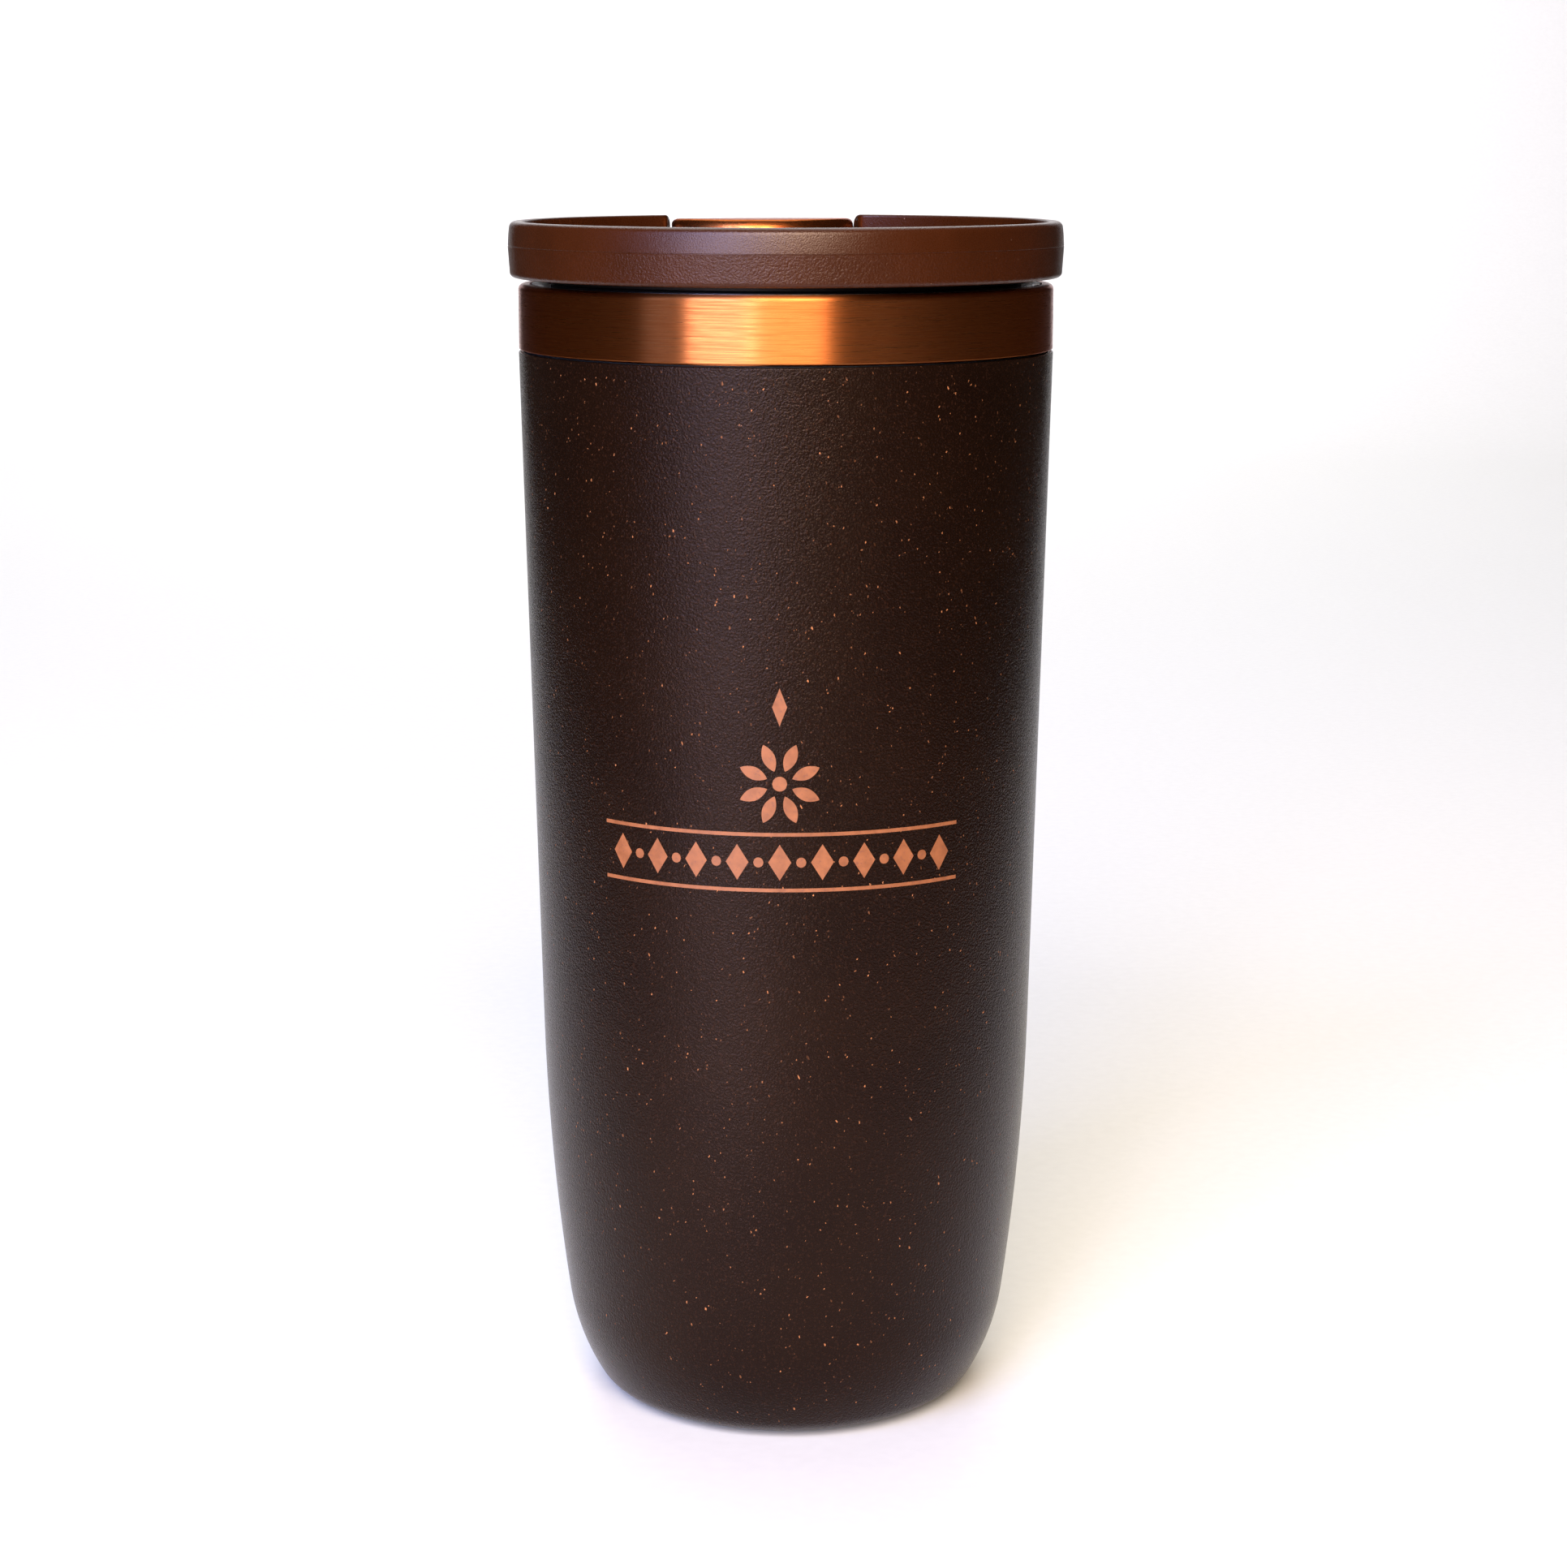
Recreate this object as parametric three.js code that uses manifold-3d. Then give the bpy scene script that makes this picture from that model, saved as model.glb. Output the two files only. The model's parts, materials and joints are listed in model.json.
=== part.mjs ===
// Insulated tumbler with a press-in flip lid, in millimetres, +Z up.
// The origin is the centre of the foot pad's underside and the notch in the lid's rim faces +Y.
// A double-walled steel vessel, evacuated between its walls, stands in a speckled composite sleeve, and the
// top of its outer wall stays bare as a collar. The lid is a cover over a hollow plug that a silicone
// gasket holds in the mouth, and a hinged tab with a raised thumb pad closes the sip hole and the air vent.
import * as THREE from 'three';
import { mergeVertices } from 'three/addons/utils/BufferGeometryUtils.js';
import Module from 'manifold-3d';

const wasm = await Module();
wasm.setup();

const degrees = Math.PI / 180;

// ---------------------------------------------------------------- driving dimensions

const height = 186.2; // foot pad to the top of the lid's rim
const gap = 0.3; // between pieces that sit against each other
const sheet = 0.6; // steel wall
const turn = 40; // facets round the axis

// The sleeve's outer line, from its top edge down: a straight taper and three arcs that end level.
const sleeveTop = 166.6;
const sleeveBottom = 0.8;
const sleeveWall = 2.0;
const rebateRadius = 40.3; // seat of the collar seal, inside the sleeve's top edge
const rebateFloor = 164.7;
const body = {
  topRadius: 41.06,
  taper: 1.31 * degrees,
  bendZ: 60.6,
  arcs: [
    { radius: 385, end: 7.9 * degrees, steps: 3 },
    { radius: 34.8, end: 30.5 * degrees, steps: 3 },
    { radius: 5.9, end: 90 * degrees, steps: 4 },
  ],
};

// The steel vessel.
const collarRadius = 41.0;
const collarBottom = 167.0;
const collarTop = 176.8;
const mouthRadius = 36.4;
const lipRound = 1.6;
const lipJoint = 39.1; // radius where the two walls' rolled lips meet
const outerInset = 2.3; // outer wall's face, measured in from the sleeve's outer line
const linerInset = 5.2; // liner's outer face, measured the same way
const foilInset = 4.0;
const foilWall = 0.3;
const shoulderZ = 160;
const outerBaseTop = 8.7;
const outerBaseBottom = 7.0;
const linerBaseTop = 21.7;
const linerBaseBottom = 9.6;

// The foot.
const padRadius = 24.0;
const padHeight = 2.0;
const sleeveFloor = 4.4;

// The lid.
const lidRadius = 42.5;
const rimTop = height;
const flangeBottom = height - 8.4;
const deckTop = height - 5.4;
const deckBottom = deckTop - 1.8;
const partingZ = height - 3.7;
const plugBottom = 161.0;
const plugTop = 177.9;
const plugWall = 1.8;
const plugStop = 37.2; // radius of the edge that rests on the vessel's lip
const grooveLow = 166.4;
const grooveHigh = 173.4;
const notchHalf = 15.4;
const notchFloor = height - 3.8;

// The drinking and air holes, and the tab that closes them.
const sip = { y: 28.9, length: 15, width: 6 };
const vent = { y: 8, radius: 1.6 };
const tubeWall = 1.2;
const sealPlay = 0.4;
const hinge = { y: -2, z: 182.9, barrel: 1.6, boss: 1.7, pin: 0.8, bore: 0.9 };
const bossInner = 9.6;
const bossOuter = 12.6;
const leverBottom = 181.2;
const leverTop = 182.4;
const leverEnd = 38.2;
const plateTop = 182.9;
const thumbTop = 185.6;
const thumbHalf = 15;
const thumbFace = 18; // plan radius of the thumb pad's inner face
const thumbOuter = 42;

// ---------------------------------------------------------------- shapes

// Turns a counter-clockwise outline of [radius, z] pairs about the Z axis.
function lathe(outline, segments = turn) {
  const points = outline.map(([r, z]) => new THREE.Vector2(r, z));
  return new THREE.LatheGeometry(points, segments).rotateX(Math.PI / 2);
}

// A turned ring, whose outline closes on itself.
function ring(outline, segments = turn) {
  return lathe([...outline, outline[0]], segments);
}

// A plain disc or washer between two heights.
function washer(inner, outer, low, high, segments = turn) {
  const side = [[outer, low], [outer, high]];
  if (inner === 0) return lathe([[0, low], ...side, [0, high]], segments);
  return ring([[inner, low], ...side, [inner, high]], segments);
}

// Raises a flat shape, drawn in the XY plane, from one height to another.
function raised(shape, low, high, curveSegments = 8) {
  const options = { depth: high - low, bevelEnabled: false, curveSegments };
  return new THREE.ExtrudeGeometry(shape, options).translate(0, 0, low);
}

// A slot with round ends that lies along X, centred on the point (0, y).
function slot(y, length, width) {
  const reach = (length - width) / 2;
  const shape = new THREE.Shape();
  shape.absarc(reach, y, width / 2, -Math.PI / 2, Math.PI / 2, false);
  shape.absarc(-reach, y, width / 2, Math.PI / 2, Math.PI * 1.5, false);
  return shape;
}

// A rod along X at the hinge's axis, between two distances from the middle.
function rod(radius, from, to, segments = 20) {
  const turned = new THREE.CylinderGeometry(radius, radius, to - from, segments).rotateZ(Math.PI / 2);
  return turned.translate((from + to) / 2, hinge.y, hinge.z);
}

function box(x0, x1, y0, y1, z0, z1) {
  const made = new THREE.BoxGeometry(x1 - x0, y1 - y0, z1 - z0);
  return made.translate((x0 + x1) / 2, (y0 + y1) / 2, (z0 + z1) / 2);
}

// The sleeve's outer line moved inwards, clipped between two heights, from the lower one up.
function bodyLine(inset, low, high) {
  const line = [];
  const add = (r, z, angle) => line.push([r - inset * Math.cos(angle), z + inset * Math.sin(angle)]);
  const reach = 10; // the taper runs on above the sleeve, for pieces that end higher
  add(body.topRadius + reach * Math.tan(body.taper), sleeveTop + reach, body.taper);
  let r = body.topRadius - (sleeveTop - body.bendZ) * Math.tan(body.taper);
  let z = body.bendZ;
  let angle = body.taper;
  add(r, z, angle);
  for (const arc of body.arcs) {
    const centreR = r - arc.radius * Math.cos(angle);
    const centreZ = z + arc.radius * Math.sin(angle);
    for (let i = 1; i <= arc.steps; i += 1) {
      const a = angle + ((arc.end - angle) * i) / arc.steps;
      r = centreR + arc.radius * Math.cos(a);
      z = centreZ - arc.radius * Math.sin(a);
      add(r, z, a);
    }
    angle = arc.end;
  }
  return clipped(line.reverse(), low, high);
}

// The part of a rising line between two heights.
function clipped(line, low, high) {
  const at = (z) => {
    const i = line.findIndex((p, k) => k > 0 && p[1] >= z);
    const [a, b] = [line[i - 1], line[i]];
    return [a[0] + ((b[0] - a[0]) * (z - a[1])) / (b[1] - a[1]), z];
  };
  const inside = line.filter(([, z]) => z > low + 0.01 && z < high - 0.01);
  return [at(low), ...inside, at(high)];
}

// A quarter of an ellipse, from the point level with its centre to the point under or over it.
function quarter(centreR, centreZ, across, tall, steps) {
  return Array.from({ length: steps + 1 }, (_, i) => {
    const a = (i / steps) * 90 * degrees;
    return [centreR + across * Math.cos(a), centreZ + tall * Math.sin(a)];
  });
}

// ---------------------------------------------------------------- joining and cutting

function solid(geometry) {
  const bare = new THREE.BufferGeometry();
  bare.setAttribute('position', geometry.getAttribute('position').clone());
  bare.setIndex(geometry.index);
  const merged = mergeVertices(bare, 1e-3);
  const triVerts = new Uint32Array(merged.index.array);
  const vertProperties = merged.attributes.position.array;
  return new wasm.Manifold(new wasm.Mesh({ numProp: 3, vertProperties, triVerts }));
}

function geometryOf(shape) {
  const { vertProperties, triVerts } = shape.getMesh();
  const geometry = new THREE.BufferGeometry();
  geometry.setAttribute('position', new THREE.BufferAttribute(new Float32Array(vertProperties), 3));
  geometry.setIndex(new THREE.BufferAttribute(new Uint32Array(triVerts), 1));
  geometry.computeVertexNormals();
  return geometry;
}

function joined(first, ...others) {
  return geometryOf(others.reduce((shape, other) => shape.add(solid(other)), solid(first)));
}

function cut(first, ...tools) {
  return geometryOf(tools.reduce((shape, tool) => shape.subtract(solid(tool)), solid(first)));
}

// ---------------------------------------------------------------- foot and sleeve

function footPad() {
  const edge = 0.6;
  const groove = [12, 15]; // radii of the grip groove in the underside
  return lathe([
    [0, 0],
    [groove[0], 0],
    [groove[0] + edge, edge],
    [groove[1] - edge, edge],
    [groove[1], 0],
    [padRadius - edge, 0],
    [padRadius, edge],
    [padRadius, padHeight],
    [0, padHeight],
  ]);
}

function sleeve() {
  const recessTop = padHeight + gap;
  return lathe([
    [0, recessTop],
    [padRadius + gap, recessTop],
    [padRadius + gap, sleeveBottom],
    ...bodyLine(0, sleeveBottom, sleeveTop),
    [rebateRadius, sleeveTop],
    [rebateRadius, rebateFloor],
    ...bodyLine(sleeveWall, sleeveFloor, rebateFloor).reverse(),
    [0, sleeveFloor],
  ]);
}

function collarSeal() {
  return washer(39.1, rebateRadius - 0.4, rebateFloor + gap, collarBottom - gap);
}

function baseCushion() {
  return washer(10, 24, sleeveFloor + gap, outerBaseBottom - gap);
}

// ---------------------------------------------------------------- steel vessel

function outerTube() {
  const bottom = outerBaseTop + gap;
  const inside = collarRadius - sheet;
  const innerRound = lipRound - sheet;
  const corner = 0.3;
  return ring([
    ...bodyLine(outerInset, bottom, collarBottom),
    [collarRadius - corner, collarBottom],
    [collarRadius, collarBottom + corner],
    ...quarter(collarRadius - lipRound, collarTop - lipRound, lipRound, lipRound, 3),
    [lipJoint + gap / 2, collarTop],
    [lipJoint + gap / 2, collarTop - sheet],
    ...quarter(collarRadius - lipRound, collarTop - lipRound, innerRound, innerRound, 3).reverse(),
    [inside, collarBottom + sheet],
    ...bodyLine(outerInset + sheet, bottom, collarBottom + sheet).reverse(),
  ]);
}

function outerBase() {
  const portRadius = 1.2;
  const dimple = 7.0; // radius of the hollow that holds the sealed port
  const dimpleTop = outerBaseBottom + 1.2;
  const rim = bodyLine(outerInset, outerBaseTop, outerBaseTop + 1)[0][0];
  return ring([
    [portRadius, dimpleTop],
    [dimple, dimpleTop],
    [dimple + 1, outerBaseBottom],
    [rim - 2.4, outerBaseBottom],
    [rim - 0.8, outerBaseBottom + 0.5],
    [rim, outerBaseTop],
    [rim - sheet, outerBaseTop],
    [rim - 1.4, outerBaseBottom + 0.5 + sheet],
    [rim - 2.6, outerBaseBottom + sheet],
    [dimple + 1.4, outerBaseBottom + sheet],
    [dimple + 0.4, dimpleTop + sheet],
    [portRadius, dimpleTop + sheet],
  ]);
}

function vacuumSeal() {
  const stem = 0.9;
  return lathe(
    [[0, 7.1], [2.6, 7.1], [3.2, 7.5], [3.2, 7.9], [stem, 7.9], [stem, 8.9], [0, 8.9]],
    16,
  );
}

function getter() {
  return new THREE.CylinderGeometry(3.5, 3.5, 0.8, 16).rotateX(Math.PI / 2);
}

function radiationFoil() {
  const [low, high] = [24, shoulderZ - 4];
  return ring([
    ...bodyLine(foilInset, low, high),
    ...bodyLine(foilInset + foilWall, low, high).reverse(),
  ]);
}

function linerTube() {
  const low = linerBaseTop + gap;
  const lipInner = lipJoint - gap / 2;
  const curl = lipInner - mouthRadius; // rounding of the lip's inner edge
  const flare = 3.2; // height of the shoulder under the lid's plug
  const lip = (radius) =>
    quarter(-lipInner, collarTop - curl, radius, radius, 4).map(([r, z]) => [-r, z]);
  return ring([
    ...bodyLine(linerInset, low, shoulderZ),
    [mouthRadius + sheet, shoulderZ + flare],
    ...lip(curl - sheet),
    ...lip(curl).reverse(),
    [mouthRadius, shoulderZ + flare + 0.2],
    ...bodyLine(linerInset + sheet, low, shoulderZ + 0.2).reverse(),
  ]);
}

function linerBase() {
  const rim = bodyLine(linerInset, linerBaseTop, linerBaseTop + 1)[0][0];
  const across = 11.5;
  const tall = linerBaseTop - linerBaseBottom;
  const bowl = (thick) =>
    quarter(rim - across, -linerBaseTop, across - thick, tall - thick, 4).map(([r, z]) => [r, -z]);
  return lathe([
    [0, linerBaseBottom],
    ...bowl(0).reverse(),
    ...bowl(sheet),
    [0, linerBaseBottom + sheet],
  ]);
}

// ---------------------------------------------------------------- lid

// The notch through the rim that the thumb pad fills.
function notchTool() {
  return box(-notchHalf, notchHalf, 36, 46, notchFloor, rimTop + 2);
}

function lidCover() {
  const shell = lathe([
    [0, deckBottom],
    [40.4, deckBottom],
    [40.7, flangeBottom],
    [41.2, flangeBottom],
    [42.1, flangeBottom + 0.6],
    [42.35, flangeBottom + 1.4],
    [lidRadius, partingZ],
    [42.15, rimTop - 0.6],
    [41.6, rimTop],
    [40.5, rimTop],
    [40.0, rimTop - 0.5],
    [39.6, deckTop + 1],
    [38.6, deckTop],
    [0, deckTop],
  ]);
  const bosses = [-1, 1].flatMap((side) => {
    const [x0, x1] = [side * bossInner, side * bossOuter].sort((a, b) => a - b);
    const foot = box(x0, x1, hinge.y - hinge.boss, hinge.y + hinge.boss, deckTop - 1, hinge.z);
    return [foot, rod(hinge.boss, x0, x1)];
  });
  return cut(
    joined(shell, ...bosses),
    notchTool(),
    raised(slot(sip.y, sip.length, sip.width), deckBottom - 1, deckTop + 1, 5),
    new THREE.CylinderGeometry(vent.radius, vent.radius, 6, 16)
      .rotateX(Math.PI / 2)
      .translate(0, vent.y, deckTop - 2),
    rod(hinge.bore, -bossOuter - 1, bossOuter + 1),
  );
}

function lidPlug() {
  const wide = 35.3;
  const neck = 36.0;
  const groove = 34.5;
  const inside = groove - 1.6;
  const cup = lathe([
    [0, plugBottom],
    [wide - 0.4, plugBottom],
    [wide, plugBottom + 0.4],
    [wide, grooveLow],
    [groove, grooveLow],
    [groove, grooveHigh],
    [wide, grooveHigh],
    [neck, grooveHigh + 1.2],
    [neck, collarTop + gap],
    [plugStop, collarTop + gap],
    [plugStop, plugTop],
    [inside, plugTop],
    [inside, plugBottom + plugWall],
    [0, plugBottom + plugWall],
  ]);
  const across = 2 * tubeWall;
  return cut(
    joined(
      cup,
      raised(slot(sip.y, sip.length + across, sip.width + across), plugBottom + 1, plugTop, 5),
      ventTube(vent.radius + 1, plugBottom + 1, plugTop),
    ),
    raised(slot(sip.y, sip.length, sip.width), plugBottom - 1, plugTop + 1, 5),
    ventTube(vent.radius, plugBottom - 1, plugTop + 1),
  );
}

function ventTube(radius, low, high) {
  return washer(0, radius, low, high, 16).translate(0, vent.y, 0);
}

function lidGasket() {
  const [inner, outer, fin] = [34.8, 35.5, mouthRadius - gap];
  const low = grooveLow + gap;
  const fins = [1.0, 4.0].flatMap((up) => [
    [outer, low + up],
    [fin, low + up + 0.9],
    [outer, low + up + 1.2],
  ]);
  return ring([[inner, low], [outer, low], ...fins, [outer, grooveHigh - gap], [inner, grooveHigh - gap]]);
}

function deckGasket() {
  return washer(34.0, 35.7, plugTop + gap, deckBottom - gap);
}

function sipGasket() {
  const shape = slot(sip.y, sip.length + 2 * tubeWall, sip.width + 2 * tubeWall);
  shape.holes.push(slot(sip.y, sip.length, sip.width));
  return raised(shape, plugTop + gap, deckBottom - gap, 5);
}

function hingePin() {
  return rod(hinge.pin, -bossOuter + gap, bossOuter - gap, 16);
}

// ---------------------------------------------------------------- flip tab

// The lever's plan: narrow between the hinge bosses, then widening to an end that follows the rim.
function leverPlan(side, endRadius) {
  const throat = bossInner - gap;
  const endHalf = side + 1;
  const sweep = Math.asin(endHalf / endRadius);
  const shape = new THREE.Shape();
  shape.moveTo(-throat, hinge.y);
  shape.lineTo(throat, hinge.y);
  shape.lineTo(throat, hinge.y + hinge.boss + 1.2);
  shape.lineTo(side, hinge.y + hinge.boss + 3.4);
  shape.absarc(0, 0, endRadius, Math.PI / 2 - sweep, Math.PI / 2 + sweep, false);
  shape.lineTo(-side, hinge.y + hinge.boss + 3.4);
  shape.lineTo(-throat, hinge.y + hinge.boss + 1.2);
  return shape;
}

function tabLever() {
  const throat = bossInner - gap;
  return cut(
    joined(raised(leverPlan(12.6, leverEnd), leverBottom, leverTop, 6), rod(hinge.barrel, -throat, throat)),
    rod(hinge.bore + 0.05, -throat - 1, throat + 1),
  );
}

// The copper skin starts clear of the hinge barrel.
function tabPlate() {
  const clear = box(-20, 20, hinge.y - 5, hinge.y + hinge.barrel + 1.4, leverTop - 1, plateTop + 1);
  return cut(raised(leverPlan(12.2, leverEnd - 0.4), leverTop, plateTop, 6), clear);
}

// A D-shaped pad: its outer face follows the lid's wall and its inner face bulges towards the hinge.
// Past the lever's end it reaches down to fill the notch.
function thumbPad() {
  const outerSweep = Math.asin(thumbHalf / thumbOuter);
  const innerSweep = Math.asin(thumbHalf / thumbFace);
  const cornerY = 37.1; // where the inner face meets the rim
  const faceY = cornerY + thumbFace * Math.cos(innerSweep);
  const pad = new THREE.Shape();
  pad.absarc(0, 0, thumbOuter, Math.PI / 2 - outerSweep, Math.PI / 2 + outerSweep, false);
  pad.absarc(0, faceY, thumbFace, -Math.PI / 2 - innerSweep, -Math.PI / 2 + innerSweep, false);
  const skirtInner = leverEnd + gap;
  const skirtSweep = Math.asin((thumbHalf - 1) / skirtInner);
  const skirt = new THREE.Shape();
  skirt.absarc(0, 0, thumbOuter, Math.PI / 2 - outerSweep, Math.PI / 2 + outerSweep, false);
  skirt.absarc(0, 0, skirtInner, Math.PI / 2 + skirtSweep, Math.PI / 2 - skirtSweep, true);
  return joined(
    raised(pad, plateTop, thumbTop, 10),
    raised(skirt, notchFloor + gap, plateTop + 0.5, 10),
  );
}

function sipSeal() {
  const stem = slot(sip.y, sip.length - 2 * sealPlay, sip.width - 2 * sealPlay);
  const head = slot(sip.y, sip.length + 2, sip.width + 2);
  return joined(
    raised(stem, deckTop - 1.1, leverBottom - 0.1, 5),
    raised(head, deckTop + 0.1, leverBottom, 5),
  );
}

function ventSeal() {
  return lathe(
    [
      [0, deckTop - 0.7],
      [vent.radius - sealPlay, deckTop - 0.7],
      [vent.radius - sealPlay, deckTop + 0.1],
      [vent.radius + 1, deckTop + 0.1],
      [vent.radius + 1, leverBottom],
      [0, leverBottom],
    ],
    16,
  ).translate(0, vent.y, 0);
}

// ---------------------------------------------------------------- materials and assembly

const finish = (color, roughness, metalness) =>
  new THREE.MeshStandardMaterial({ color, roughness, metalness });
const composite = finish('#2e1d18', 0.55, 0);
const copperSteel = finish('#a5552b', 0.3, 1);
const plainSteel = finish('#b9bcc0', 0.3, 1);
const brownPlastic = finish('#4a2413', 0.45, 0);
const blackPlastic = finish('#15110f', 0.5, 0);
const silicone = finish('#1b1614', 0.7, 0);
const foam = finish('#3a3a3c', 0.9, 0);
const foil = finish('#c07a4c', 0.35, 1);
const glassSeal = finish('#6d7a72', 0.25, 0);

function mesh(name, geometry, material, position = [0, 0, 0]) {
  const made = new THREE.Mesh(geometry, material);
  made.name = name;
  made.position.set(...position);
  return made;
}

const vessel = new THREE.Group();
vessel.add(
  mesh('foot_pad', footPad(), silicone),
  mesh('sleeve', sleeve(), composite),
  mesh('collar_seal', collarSeal(), silicone),
  mesh('base_cushion', baseCushion(), foam),
  mesh('outer_tube', outerTube(), copperSteel),
  mesh('outer_base', outerBase(), plainSteel),
  mesh('vacuum_seal', vacuumSeal(), glassSeal),
  mesh('getter', getter(), plainSteel, [16, 0, outerBaseBottom + sheet + gap + 0.4]),
  mesh('radiation_foil', radiationFoil(), foil),
  mesh('liner_tube', linerTube(), plainSteel),
  mesh('liner_base', linerBase(), plainSteel),
);

const flipTab = new THREE.Group();
flipTab.add(
  mesh('tab_lever', tabLever(), brownPlastic),
  mesh('tab_plate', tabPlate(), copperSteel),
  mesh('thumb_pad', thumbPad(), copperSteel),
  mesh('sip_seal', sipSeal(), silicone),
  mesh('vent_seal', ventSeal(), silicone),
);

const lid = new THREE.Group();
lid.add(
  mesh('lid_cover', lidCover(), brownPlastic),
  mesh('lid_plug', lidPlug(), blackPlastic),
  mesh('lid_gasket', lidGasket(), silicone),
  mesh('deck_gasket', deckGasket(), silicone),
  mesh('sip_gasket', sipGasket(), silicone),
  mesh('hinge_pin', hingePin(), plainSteel),
  flipTab,
);

const tumbler = new THREE.Group();
tumbler.add(vessel, lid);

export default tumbler;
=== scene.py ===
"""Insulated tumbler with a press-in flip lid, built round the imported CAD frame.

Outlines are in millimetres and the meshes in metres. The notch in the lid's rim faces +Y.
"""

import json
import math

import bpy
from mathutils import Matrix, Vector


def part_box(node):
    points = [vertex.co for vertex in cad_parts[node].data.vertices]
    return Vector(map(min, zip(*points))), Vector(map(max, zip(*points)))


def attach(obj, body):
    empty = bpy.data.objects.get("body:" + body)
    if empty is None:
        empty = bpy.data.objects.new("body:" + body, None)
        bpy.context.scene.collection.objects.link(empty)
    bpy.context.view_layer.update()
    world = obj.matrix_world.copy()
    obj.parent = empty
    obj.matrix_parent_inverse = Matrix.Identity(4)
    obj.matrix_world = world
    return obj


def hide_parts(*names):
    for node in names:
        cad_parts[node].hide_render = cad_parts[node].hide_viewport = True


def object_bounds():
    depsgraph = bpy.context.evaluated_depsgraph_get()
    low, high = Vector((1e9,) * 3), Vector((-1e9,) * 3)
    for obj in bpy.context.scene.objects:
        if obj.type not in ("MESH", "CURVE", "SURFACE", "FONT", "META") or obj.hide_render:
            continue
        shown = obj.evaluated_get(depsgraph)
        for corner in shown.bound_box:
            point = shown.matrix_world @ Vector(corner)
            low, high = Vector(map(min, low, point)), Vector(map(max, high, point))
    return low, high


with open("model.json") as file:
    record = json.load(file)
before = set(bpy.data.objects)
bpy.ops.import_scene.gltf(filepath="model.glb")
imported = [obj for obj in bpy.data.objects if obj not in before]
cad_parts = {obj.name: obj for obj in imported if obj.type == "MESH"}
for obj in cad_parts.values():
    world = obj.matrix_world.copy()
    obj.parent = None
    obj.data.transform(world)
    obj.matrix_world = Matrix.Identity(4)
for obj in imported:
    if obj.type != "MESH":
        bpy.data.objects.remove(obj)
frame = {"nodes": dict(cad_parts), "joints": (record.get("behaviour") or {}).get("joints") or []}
cad_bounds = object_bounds()

MM = 0.001
SEGMENTS = 192

# ---------------------------------------------------------------- places, from the CAD frame


def span(node):
    """(lowest corner, highest corner) of a CAD node in millimetres."""
    low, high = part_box(node)
    return low / MM, high / MM


RIM_TOP = span("lid_cover")[1].z
FLANGE = span("lid_cover")[0].z
LID_R = span("lid_cover")[1].y
COLLAR_TOP = span("outer_tube")[1].z
COLLAR_R = span("outer_tube")[1].x
SLEEVE_TOP = span("sleeve")[1].z
SLEEVE_LOW = span("sleeve")[0].z
SLEEVE_R = span("sleeve")[1].x
LEVER_LOW = span("sip_seal")[1].z
LEVER_TOP = span("tab_plate")[0].z
PLATE_TOP = span("tab_plate")[1].z
THUMB_TOP = span("thumb_pad")[1].z
THUMB_LOW = span("thumb_pad")[0].z
PLUG_LOW, PLUG_TOP = span("lid_plug")[0].z, span("lid_plug")[1].z
PAD_R = span("foot_pad")[1].x
PAD_TOP = span("foot_pad")[1].z
DECK = RIM_TOP - 5.4
DECK_LOW = DECK - 1.8
COLLAR_LOW = SLEEVE_TOP + 0.4
SIP_Y = (span("sip_seal")[0].y + span("sip_seal")[1].y) / 2
VENT_Y = (span("vent_seal")[0].y + span("vent_seal")[1].y) / 2
HINGE = next(j for j in frame["joints"] if j["name"] == "tab_flip")["pos_m"]
HINGE_Y, HINGE_Z = HINGE[1] / MM, HINGE[2] / MM

# ---------------------------------------------------------------- driving dimensions

# The sleeve's outer line: a straight taper down to the bend, then arcs of (radius, end in degrees, steps).
SLEEVE_TAPER = math.radians(1.31)
SLEEVE_BEND_Z = 60.6
SLEEVE_ARCS = ((385, 7.9, 10), (34.8, 30.5, 14), (5.9, 90, 12))
SLEEVE_WALL = 2.0
SLEEVE_FLOOR = 3.6  # height of the floor's top over the sleeve's lower edge
REBATE_R, REBATE_DEPTH = 40.3, 1.9  # seat of the collar seal, inside the sleeve's top edge

# The two steel walls, measured in from the sleeve's outer line.
STEEL = 0.6
OUTER_INSET = 2.3
LINER_INSET = 5.2

# The lid.
RIM_IN = 40.15  # inner radius of the rim's top edge
BAND_TOP = RIM_TOP - 3.7  # the side is textured below this height and smooth above it
NOTCH_HALF = 15.15
NOTCH_START = NOTCH_HALF - 0.03  # where the notch's end walls meet its floor
NOTCH_FLOOR = THUMB_LOW - 0.3
NOTCH_CORNER, NOTCH_ROOT = 1.0, 0.3  # radii at the top and the foot of the notch's end walls
SIP_SLOT = (15, 6)  # length and width
VENT_R = 1.6
THROAT = 9.3  # half-length of the hinge barrel, which turns between the bosses
PIN_R = 0.8

# Turns about Z in degrees. Both the camera and the middle of the print are a little to the left of -Y.
CAMERA_TURN = -5.7
PRINT_TURN = -7.0

# ---------------------------------------------------------------- outlines


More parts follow.
